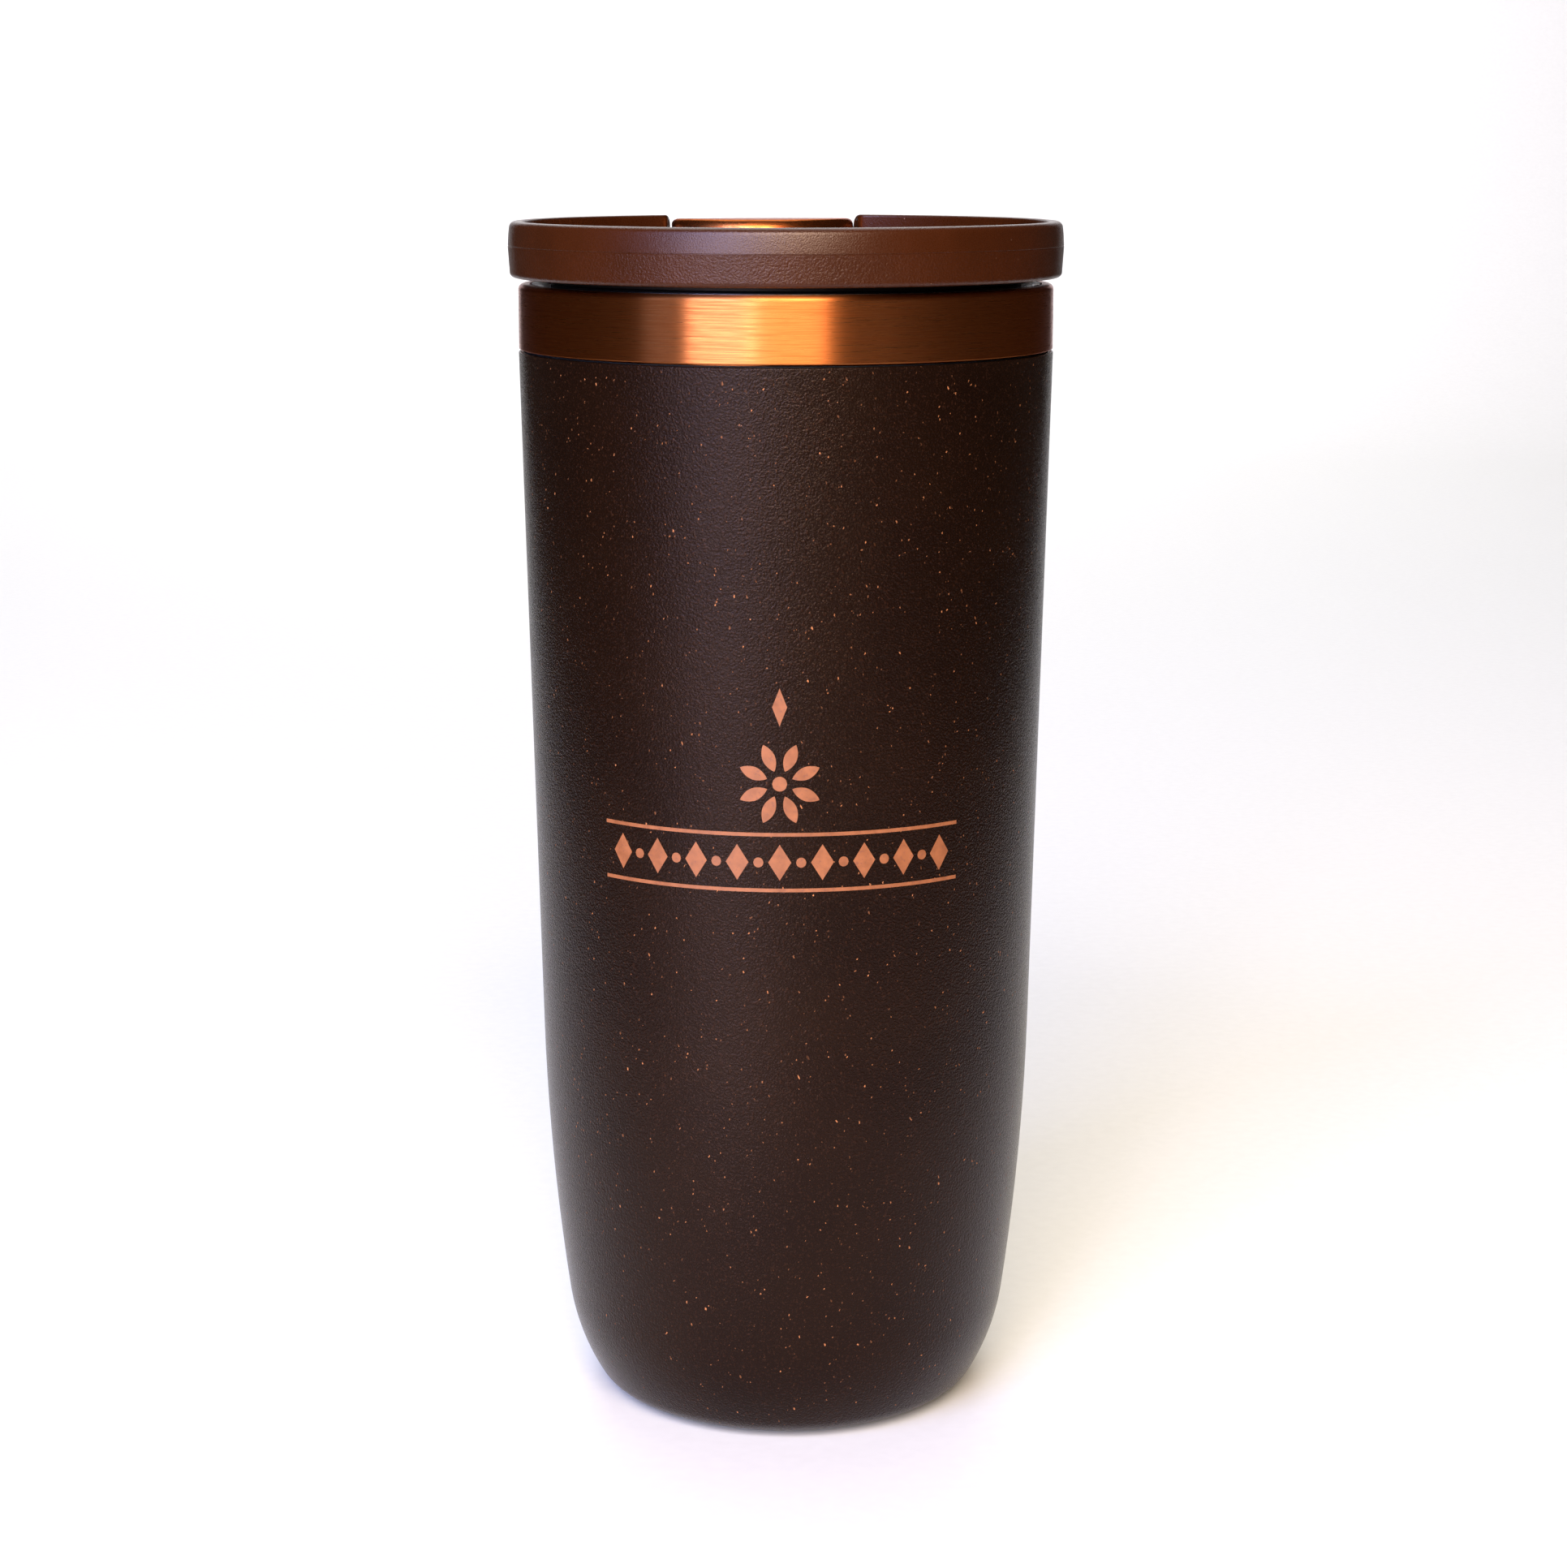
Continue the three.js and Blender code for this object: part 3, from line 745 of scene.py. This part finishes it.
def build_liner():
    """The inner steel wall, with a rolled lip at the mouth."""
    low = span("liner_tube")[0].z
    mouth, joint = 36.4, 38.95
    curl = joint - mouth
    outer = sleeve_line(LINER_INSET, low, 160)
    inner = sleeve_line(LINER_INSET + STEEL, low, 160.2)[::-1]
    lip = arc((joint, COLLAR_TOP - curl), curl - STEEL, 180, 90, 8)
    lip += arc((joint, COLLAR_TOP - curl), curl, 90, 180, 12)
    neck = [(mouth, z) for z in (COLLAR_TOP - curl - 0.1, 163.5, 163.4)]
    made = turned("liner_wall", [*outer, (mouth + STEEL, 163.2), *lip, *neck, *inner], 192)
    fitted(made, "vessel", LINER_STEEL, "liner_tube", "liner_tube")


def build_liner_bowl():
    """The liner's rounded bottom."""
    low, high = span("liner_base")
    rim = high.x
    across, tall = 11.5, high.z - low.z
    outline = [(0, low.z)]
    for thick, turn in ((0.0, 1), (STEEL, -1)):
        bowl = []
        for k in range(17):
            a = math.radians(90 * k / 16)
            r = rim - across + (across - thick) * math.sin(a)
            bowl.append((r, high.z - (tall - thick) * math.cos(a)))
        outline += bowl[::turn]
    outline.append((0, low.z + STEEL))
    made = turned("liner_bowl", outline, 192)
    fitted(made, "vessel", LINER_STEEL, "liner_base", "liner_base")


# ---------------------------------------------------------------- lid


def notch_height(x):
    """Height of the rim's top at a distance x from the middle of the notch."""
    a = abs(x)
    wall_top, wall_foot = RIM_TOP - NOTCH_CORNER, NOTCH_FLOOR + NOTCH_ROOT
    if a >= NOTCH_HALF + NOTCH_CORNER:
        return RIM_TOP
    if a >= NOTCH_HALF:
        return wall_top + math.sqrt(max(0, NOTCH_CORNER**2 - (NOTCH_HALF + NOTCH_CORNER - a) ** 2))
    if a >= NOTCH_START:
        return wall_foot + (a - NOTCH_START) / (NOTCH_HALF - NOTCH_START) * (wall_top - wall_foot)
    if a >= NOTCH_START - NOTCH_ROOT:
        return wall_foot - math.sqrt(max(0, NOTCH_ROOT**2 - (a - NOTCH_START + NOTCH_ROOT) ** 2))
    return NOTCH_FLOOR


def notch_fillet(across, r, z):
    """How far the rim's inner wall draws back beside the notch, to round the corner between wall and end."""
    radius = 1.5
    near = radius - (across - NOTCH_HALF)
    if not 0 < near <= radius + 0.05:
        return 0.0
    depth = radius - math.sqrt(max(0.0, radius**2 - min(near, radius) ** 2))
    inner = min(1.0, max(0.0, (LID_R - r) / (LID_R - 40.3)))
    return depth * inner * smooth(z, NOTCH_FLOOR, NOTCH_FLOOR + 0.7)


def lid_columns():
    """Angles from +Y round the lid, packed close at the notch's corners."""
    root_in = NOTCH_START - NOTCH_ROOT
    edge = [root_in - 0.1]
    edge += [root_in + NOTCH_ROOT * math.sin(math.radians(90 * k / 5)) for k in range(6)]
    edge += [NOTCH_HALF + NOTCH_CORNER * (1 - math.cos(math.radians(90 * k / 7))) for k in range(8)]
    edge += [NOTCH_HALF + NOTCH_CORNER + d for d in (0.12, 0.3, 0.5, 0.65)]
    edge = [math.asin(x / LID_R) for x in edge]
    inside = [edge[0] * k / 12 for k in range(-11, 12)]
    step = (2 * math.pi - 2 * edge[-1]) / 160
    outside = [edge[-1] + step * k for k in range(1, 160)]
    return [-a for a in reversed(edge)] + inside + edge + outside


def smooth(value, low, high):
    """0 below the low value and 1 above the high one, eased between them."""
    t = min(1.0, max(0.0, (value - low) / (high - low)))
    return t * t * (3 - 2 * t)


def build_lid_cover():
    """The cover: a notched rim round a sunken deck, with the hinge bosses, the sip slot and the vent."""
    outline = rounded(
        [
            (0, DECK_LOW, 0),
            (40.4, DECK_LOW, 0.2),
            (40.7, FLANGE, 0.3),
            (LID_R - 0.3, FLANGE, 1.4),
            (LID_R, RIM_TOP - 3.78, 0.0),
            (LID_R - 0.07, RIM_TOP - 3.72, 0.0),
            (LID_R - 0.07, RIM_TOP - 3.64, 0.0),
            (LID_R - 0.02, RIM_TOP - 3.58, 0.0),
            (LID_R - 0.1, RIM_TOP - 2.0, 0.0),
            (LID_R - 0.32, RIM_TOP, 1.0),
            (RIM_IN, RIM_TOP, 0.35),
            *[(RIM_IN + 0.1 * down, RIM_TOP - down, 0) for down in (1.2, 2.2, 3.0, 3.4)],
            (40.55, DECK, 1.5),
            (0, DECK, 0),
        ],
        support=0.08,
    )
    angles = lid_columns()
    vertices, faces = turned_rows(outline, angles)
    base = NOTCH_FLOOR - 0.5
    placed = []
    for x, y, z in vertices:
        r = math.hypot(x, y)
        if r < 1e-6:
            placed.append((x, y, z))
            continue
        a = math.atan2(y, x)
        held = smooth(r, 30, 36) * (1 - smooth(abs(a), math.radians(25), math.radians(38)))
        sideways = math.asin(max(-1.0, min(1.0, LID_R * math.sin(a) / r)))
        turn = a + (sideways - a) * held
        if z > base and abs(a) < math.radians(40):
            limit = notch_height(r * math.sin(turn))
            z = base + (z - base) * (limit - base) / (RIM_TOP - base)
            r += notch_fillet(abs(r * math.sin(turn)), r, z)
        placed.append((-r * math.sin(turn), r * math.cos(turn), z))
    made = mesh_object("lid_cover_piece", placed, faces)
    for side in (-1, 1):
        combined(made, hinge_boss(side), "UNION")
    combined(made, slot_cutter(SIP_Y, *SIP_SLOT, DECK_LOW - 2, DECK), "DIFFERENCE")
    mouth_r = VENT_R + 0.3
    vent = [(0, DECK_LOW - 2), (VENT_R, DECK_LOW - 2), (VENT_R, DECK - 0.3)]
    vent += [(mouth_r, DECK), (mouth_r, DECK + 2), (0, DECK + 2)]
    combined(made, turned("cutter", vent, 48, (0, VENT_Y)), "DIFFERENCE")
    bore_r = PIN_R + 0.1
    bore = [(0, -20), (bore_r, -20), (bore_r, 20), (0, 20)]
    combined(made, cross_rod("cutter", bore), "DIFFERENCE")
    fitted(made, "lid", LID_PLASTIC, "lid_cover", "lid_cover")
    made.data.materials.append(LID_TEXTURED)
    for face in made.data.polygons:
        outside = math.hypot(face.center.x, face.center.y) > (LID_R - 1.5) * MM
        if outside and face.center.z < BAND_TOP * MM:
            face.material_index = 1


def hinge_boss(side):
    """An arched ear that stands on the deck, with its edges rounded."""
    x0, x1 = sorted((side * 9.6, side * 12.6))
    arch = [(2.1, -2.6), *arc((0, 0), 1.7, 0, 180, 18), (-2.1, -2.6)]
    rings = []
    edge = 0.3
    for x, by in ((x0, edge), (x0 + 0.1, 0.1), (x0 + edge, 0), (x1 - edge, 0), (x1 - 0.1, 0.1), (x1, edge)):
        rings.append([(x, HINGE_Y + y, HINGE_Z + z) for y, z in inset_outline(arch, by)])
    return layered("boss", rings)


def build_plug():
    """The hollow plug in the mouth, with the gasket's groove and the sip and vent tubes."""
    wide, neck, groove, inside, stop = 35.3, 36.0, 34.5, 32.9, 37.2
    low, high = 166.4, 173.4  # of the gasket's groove
    floor = PLUG_LOW + 1.8
    outline = rounded(
        [
            (0, PLUG_LOW, 0),
            (wide, PLUG_LOW, 0.8),
            (wide, low, 0.2),
            (groove, low, 0.2),
            (groove, high, 0.2),
            (wide, high, 0.2),
            (neck, high + 1.2, 0.3),
            (neck, COLLAR_TOP + 0.3, 0.3),
            (stop, COLLAR_TOP + 0.3, 0.15),
            (stop, PLUG_TOP, 0.15),
            (inside, PLUG_TOP, 0.2),
            (inside, floor, 0.8),
            (0, floor, 0),
        ],
        support=0.06,
    )
    made = turned("lid_plug_piece", outline, 160)
    wall = [[(x, y, z) for x, y in slot_outline(SIP_Y, 17.4, 8.4)] for z in (PLUG_LOW + 1, PLUG_TOP)]
    combined(made, layered("tube", wall), "UNION")
    tube = [(0, PLUG_LOW + 1), (2.6, PLUG_LOW + 1), (2.6, PLUG_TOP), (0, PLUG_TOP)]
    combined(made, turned("tube", tube, 40, (0, VENT_Y)), "UNION")
    hole = [[(x, y, z) for x, y in slot_outline(SIP_Y, *SIP_SLOT)] for z in (PLUG_LOW - 2, PLUG_TOP + 2)]
    combined(made, layered("cutter", hole), "DIFFERENCE")
    vent = [(0, PLUG_LOW - 2), (VENT_R, PLUG_LOW - 2), (VENT_R, PLUG_TOP + 2), (0, PLUG_TOP + 2)]
    combined(made, turned("cutter", vent, 40, (0, VENT_Y)), "DIFFERENCE")
    fitted(made, "lid", BLACK_PLASTIC, "lid_plug", "lid_plug")


def build_gasket():
    """The gasket in the plug's groove, with its two fins."""
    low = span("lid_gasket")[0].z
    high = span("lid_gasket")[1].z
    inner, outer, fin = 34.8, 35.5, 36.1
    outline = [(inner, low, 0.15), (outer, low, 0.2)]
    for up in (1.0, 4.0):
        outline += [(outer, low + up, 0.15), (fin, low + up + 0.85, 0.12), (outer, low + up + 1.3, 0.15)]
    outline += [(outer, high, 0.2), (inner, high, 0.15)]
    made = turned("lid_gasket_piece", rounded(outline, closed=True, support=0.04), 160)
    fitted(made, "lid", SILICONE, "lid_gasket", "lid_gasket")


def build_pin():
    """The hinge pin, rounded at both ends."""
    half, edge = span("hinge_pin")[1].x, 0.25
    outline = [(0, -half)] + arc((PIN_R - edge, -half + edge), edge, -90, 0, 5)
    outline += arc((PIN_R - edge, half - edge), edge, 0, 90, 5) + [(0, half)]
    made = cross_rod("hinge_pin_piece", outline, 32)
    fitted(made, "lid", PRESSED_STEEL, "hinge_pin", "hinge_pin")


# ---------------------------------------------------------------- flip tab


def lever_outline(side, end_radius, start, corner):
    """The lever's plan: narrow between the bosses, wide beyond them, with an end that follows the rim."""
    reach = side + 0.8
    sweep = math.degrees(math.asin(reach / end_radius))
    near = HINGE_Y + 2.9
    corners = [(-THROAT, start, 0.2), (THROAT, start, 0.2)]
    if start < near - 1:
        corners += [(THROAT, near, 0.8)]
    corners += [(side, near + 2.2, 1.4)]
    tip = arc((0, 0), end_radius, 90 - sweep, 90 + sweep, 24)
    corners += [(*tip[0], corner)] + [(*p, 0) for p in tip[2:-2]] + [(*tip[-1], corner)]
    corners += [(-side, near + 2.2, 1.4)]
    if start < near - 1:
        corners += [(-THROAT, near, 0.8)]
    return rounded(corners, closed=True, support=0.05)


def build_lever():
    """The tab's lever, with the barrel that turns on the pin."""
    made = slab("tab_lever_piece", lever_outline(12.6, 38.2, HINGE_Y, 1.0), LEVER_LOW, LEVER_TOP)
    wide, edge = 1.6, 0.25
    barrel = [(0, -THROAT), (wide - edge, -THROAT), (wide, -THROAT + edge)]
    barrel += [(wide, THROAT - edge), (wide - edge, THROAT), (0, THROAT)]
    combined(made, cross_rod("barrel", barrel, 48), "UNION")
    bore_r = PIN_R + 0.15
    bore = [(0, -12), (bore_r, -12), (bore_r, 12), (0, 12)]
    combined(made, cross_rod("bore", bore, 32), "DIFFERENCE")
    fitted(made, "tab", LID_PLASTIC, "tab_lever", "tab_lever")


def build_plate():
    """The brushed skin on top of the lever."""
    outline = lever_outline(12.2, 37.8, HINGE_Y + 3.0, 0.8)
    made = slab("tab_plate_piece", outline, LEVER_TOP, PLATE_TOP, 0.05, 0.2)
    fitted(made, "tab", TAB_STEEL, "tab_plate", "tab_plate")


def drawn_back(up, height, radius):
    """How far a wall has drawn back, at a height up it, where its top edge is rounded over."""
    t = min(1.0, max(0.0, (up - height + radius) / radius))
    return radius * (1 - math.sqrt(1 - t * t))


def pad_ring(plan, up, centre_y, half):
    """The thumb pad's plan at one height: its face is bull-nosed, and its rim and ends are rounded over."""
    height = THUMB_TOP - PLATE_TOP
    nose_r = 3.6
    edge = drawn_back(up, height, 0.3)
    nose = edge + nose_r - math.sqrt(nose_r**2 - max(0.0, up - 0.4) ** 2)
    rim, end = (drawn_back(up, height, radius) for radius in (0.6, 1.0))
    ring = []
    for x, y in inset_outline(plan, 0.1 if up == 0 else 0.0):
        radius = math.hypot(x, y)
        front = 1 - smooth(radius, 39.8, 41.6)
        away = Vector((x, y - centre_y)).normalized() * nose * front
        x, y = x - away.x, y - away.y
        x, y = x * (1 - rim * (1 - front) / radius), y * (1 - rim * (1 - front) / radius)
        x -= math.copysign(end * smooth(abs(x), half - 2, half), x)
        ring.append((x, y, PLATE_TOP + up))
    return ring


def build_thumb_pad():
    """The block at the tab's end, whose skirt reaches down to fill the notch."""
    half, outer, face = 15.0, 42.0, 18.0
    corner_y = 37.1
    sweep = math.degrees(math.asin(half / outer))
    bulge = math.degrees(math.asin(half / face))
    centre_y = corner_y + face * math.cos(math.radians(bulge))
    rim = arc((0, 0), outer, 90 - sweep, 90 + sweep, 28)
    inner = arc((0, centre_y), face, -90 - bulge, -90 + bulge, 40)
    corners = [(*rim[0], 0.6)] + [(*p, 0) for p in rim[2:-2]] + [(*rim[-1], 0.6)]
    corners += [(*inner[0], 1.0)] + [(*p, 0) for p in inner[3:-3]] + [(*inner[-1], 1.0)]
    plan = rounded(corners, closed=True, support=0.05)
    rings = [pad_ring(plan, up, centre_y, half) for up in (0.0, 0.1, 0.4)]
    height = THUMB_TOP - PLATE_TOP
    for k in range(1, 11):
        rings.append(pad_ring(plan, height - 2.0 * (1 - math.sin(math.radians(9 * k))), centre_y, half))
    made = layered("thumb_pad_piece", rings)
    skirt_r = 38.5
    turn = math.degrees(math.asin((half - 1.0) / skirt_r))
    skirt = rim + arc((0, 0), skirt_r, 90 + turn, 90 - turn, 28)
    tool = slab("skirt", skirt, THUMB_LOW, PLATE_TOP + 0.6, 0.2, 0.05)
    combined(made, tool, "UNION")
    fitted(made, "tab", TAB_STEEL, "thumb_pad", "thumb_pad")


def build_seals():
    """The two silicone seals under the lever, over the sip slot and the vent."""
    pad = slab("sip_seal_pad", slot_outline(SIP_Y, 17, 8), DECK + 0.1, LEVER_LOW, 0.12, 0.02, 3)
    stem = slab("stem", slot_outline(SIP_Y, 14.2, 5.2), DECK - 1.1, DECK + 0.2, 0.35, 0.02, 4)
    combined(pad, stem, "UNION")
    fitted(pad, "tab", SILICONE, "sip_seal", "sip_seal")
    low, step = span("vent_seal")[0].z, DECK + 0.1
    outline = [(0, low, 0), (1.2, low, 0.3), (1.2, step, 0.1), (2.6, step, 0.1)]
    outline += [(2.6, LEVER_LOW, 0), (0, LEVER_LOW, 0)]
    made = turned("vent_seal_piece", rounded(outline, support=0.02), 48, (0, VENT_Y))
    fitted(made, "tab", SILICONE, "vent_seal", "vent_seal")


# ---------------------------------------------------------------- build

build_foot()
build_sleeve()
build_print()
build_outer_wall()
build_liner()
build_liner_bowl()
build_lid_cover()
build_plug()
build_gasket()
build_pin()
build_lever()
build_plate()
build_thumb_pad()
build_seals()

CARRIED = {
    "collar_seal": SILICONE,
    "base_cushion": FOAM,
    "outer_base": PRESSED_STEEL,
    "vacuum_seal": BEAD,
    "getter": PILL,
    "radiation_foil": FOIL,
    "deck_gasket": SILICONE,
    "sip_gasket": SILICONE,
}
for node, material in CARRIED.items():
    for place in frame["nodes"][node].material_slots:
        place.material = material

# ---------------------------------------------------------------- stage, light and camera


def build_stage():
    """A pale floor that sweeps up into a backdrop."""
    made, tree, shader, where = surface("stage_paper", roughness=0.8)
    fibre = mapped(tree, noise(tree, where, 400, 3), 0.3, 0.7)
    coloured(tree, shader, blended(tree, fibre, linear((228, 228, 226)), linear((231, 231, 229))))
    bumped(tree, shader, noise(tree, where, 900, 2), 0.00005, 0.2)
    front, back, bend, tall = -0.32, 1.5, 0.7, 3.0
    profile = [(front, 0.0), (0.0, 0.0), (back, 0.0)]
    for k in range(1, 19):
        a = math.radians(5 * k)
        profile.append((back + bend * math.sin(a), bend * (1 - math.cos(a))))
    profile.append((back + bend, tall))
    low = cad_bounds[0].z - 0.0002
    across = Matrix.Rotation(math.radians(CAMERA_TURN), 3, "Z")
    vertices = []
    for y, z in profile:
        half = 0.27 + 0.21 * max(0.0, y)
        vertices += [across @ Vector((side * half, y, z + low)) for side in (-1, 1)]
    faces = [(2 * i, 2 * i + 1, 2 * i + 3, 2 * i + 2) for i in range(len(profile) - 1)]
    floor = mesh_object("stage_floor", vertices, faces, 1.0)
    floor.data.materials.append(made)


def area_light(name, azimuth, elevation, distance, size, radiance, centre=(0, 0, 0.12), target=None):
    """A soft light at an azimuth and elevation from a centre, facing it or a target.

    The radiance is linear RGB.
    """
    data = bpy.data.lights.new(name, "AREA")
    data.shape = "RECTANGLE"
    data.size, data.size_y = size
    peak = max(radiance)
    data.energy = math.pi * size[0] * size[1] * peak
    data.color = [c / peak for c in radiance]
    a, e = math.radians(azimuth), math.radians(elevation)
    away = Vector((math.sin(a) * math.cos(e), -math.cos(a) * math.cos(e), math.sin(e)))
    made = bpy.data.objects.new(name, data)
    made.location = Vector(centre) + away * distance
    facing = made.location - Vector(target or centre)
    made.rotation_euler = facing.to_track_quat("Z", "Y").to_euler()
    bpy.context.scene.collection.objects.link(made)


def build_world():
    """A pale room that lights the object only faintly: the soft boxes do the work."""
    world = bpy.data.worlds.new("studio")
    bpy.context.scene.world = world
    world.use_nodes = True
    tree = world.node_tree
    tree.nodes.clear()
    seen = add(tree, "Background", {"Color": (0.97, 0.97, 0.965, 1), "Strength": 1.0})
    cast = add(tree, "Background", {"Color": (1.0, 0.75, 0.65, 1), "Strength": 0.05})
    path = add(tree, "LightPath").outputs["Is Camera Ray"]
    both = add(tree, "MixShader", {0: path, 1: cast.outputs[0], 2: seen.outputs[0]})
    out = add(tree, "OutputWorld")
    tree.links.new(both.outputs[0], out.inputs["Surface"])


def build_light():
    """Soft boxes in front, at the side, above and behind."""
    area_light("box_left", CAMERA_TURN - 27, 24, 1.5, (0.76, 1.08), (6.2, 7.6, 14.0))
    area_light("box_low", CAMERA_TURN - 27, -4, 1.5, (0.76, 0.42), (8.4, 7.5, 7.6))
    area_light("box_front", CAMERA_TURN + 0.9, 28, 1.5, (0.83, 0.86), (19.0, 15.6, 12.0))
    area_light("box_side", CAMERA_TURN - 55, 20, 1.5, (0.36, 1.0), (0.8, 1.0, 1.9))
    area_light("box_top", 180, 66, 1.4, (1.0, 1.4), (2.5, 2.6, 2.6), (0, 0, 0))
    area_light("box_back", 180, 40, 1.6, (1.6, 0.6), (5.2, 5.2, 5.2), (0, 0.3, 0.2), (0, 2.1, 0.5))


def build_camera():
    """The camera stands a little above the lid and looks slightly down, just off the tumbler's axis."""
    distance, above, pitch, aside = 0.503, 0.0126, math.radians(11.3), math.radians(0.042)
    turn = math.radians(CAMERA_TURN)
    data = bpy.data.cameras.new("camera")
    data.lens = 74.4
    data.sensor_width = 36.0
    data.clip_start, data.clip_end = 0.01, 20.0
    made = bpy.data.objects.new("camera", data)
    top = cad_bounds[1].z
    made.location = (math.sin(turn) * distance, -math.cos(turn) * distance, top + above)
    made.rotation_euler = (math.pi / 2 - pitch, 0.0, turn + aside)
    bpy.context.scene.collection.objects.link(made)
    bpy.context.scene.camera = made


build_stage()
build_world()
build_light()
build_camera()
bpy.context.scene.view_settings.view_transform = "Standard"
